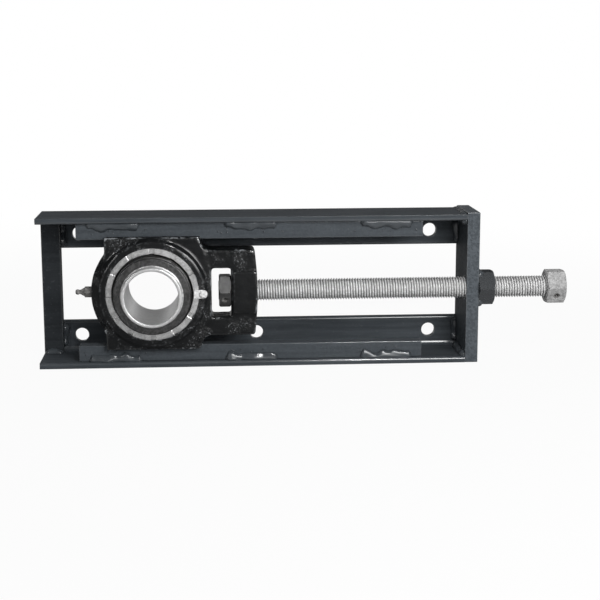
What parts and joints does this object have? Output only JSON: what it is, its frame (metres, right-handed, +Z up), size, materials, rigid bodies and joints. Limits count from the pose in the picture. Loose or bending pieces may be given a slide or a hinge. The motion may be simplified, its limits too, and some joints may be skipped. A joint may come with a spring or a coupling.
{
  "type": "take-up bearing unit",
  "caption": "Screw take-up: a roller bearing in a cast housing slides on guide bars in a welded angle frame and is set along it by a threaded screw; the back legs bolt to a machine.",
  "frame": {"origin": "centre of the shaft bore, half way along it, with the housing at the place the picture shows", "axes": "+X along the adjusting screw towards the wrench nut, +Y along the shaft bore from the front to the mounting face, +Z up"},
  "size_m": [0.625, 0.1075, 0.1805],
  "materials": {
    "frame_paint": "satin",
    "housing_paint": "gloss",
    "bright_steel": "brushed",
    "dark_steel": "satin",
    "zinc": "matte",
    "seal": "matte"
  },
  "bodies": {
    "frame": {"upper_angle": "frame_paint", "lower_angle": "frame_paint", "crossbar": "frame_paint", "end_plate": "frame_paint", "upper_guide_bar": "frame_paint", "lower_guide_bar": "frame_paint", "upper_bar_welds": "frame_paint", "lower_bar_welds": "frame_paint", "crossbar_welds": "frame_paint", "end_plate_welds": "frame_paint", "frame_nut": "frame_paint", "frame_nut_weld": "frame_paint"},
    "carriage": {"housing": "housing_paint", "notched_ring": "bright_steel", "lock_tab": "bright_steel", "lock_screw": "zinc", "front_outer_race": "bright_steel", "rear_outer_race": "bright_steel", "front_seal": "seal", "rear_seal": "seal", "grease_fitting": "zinc"},
    "shaft_sleeve": {"inner_ring": "bright_steel", "front_collar": "dark_steel", "rear_collar": "dark_steel", "collar_set_screws": "dark_steel"},
    "roller_rows": {"front_rollers": "bright_steel", "rear_rollers": "bright_steel", "front_cage": "bright_steel", "rear_cage": "bright_steel"},
    "screw": {"adjusting_screw": "zinc", "inner_nut": "dark_steel", "wrench_nut": "zinc", "nut_pins": "dark_steel"}
  },
  "joints": [
    {"name": "take_up_slide", "type": "slide", "parent": "frame", "child": "carriage", "axis": [1, 0, 0], "range_m": [-0.0302, 0.245]},
    {"name": "screw_turn", "type": "hinge", "parent": "carriage", "child": "screw", "pos_m": [0.085, 0, 0], "axis": [1, 0, 0], "range_deg": [-3430, 27790]},
    {"name": "shaft_spin", "type": "hinge", "parent": "carriage", "child": "shaft_sleeve", "pos_m": [0, 0, 0], "axis": [0, -1, 0], "continuous": true},
    {"name": "cage_spin", "type": "hinge", "parent": "carriage", "child": "roller_rows", "pos_m": [0, 0, 0], "axis": [0, -1, 0], "continuous": true}
  ],
  "couplings": [
    {"joint": "screw_turn", "follows": "take_up_slide", "rad_per_m": 1979},
    {"joint": "cage_spin", "follows": "shaft_spin", "ratio": 0.447}
  ]
}
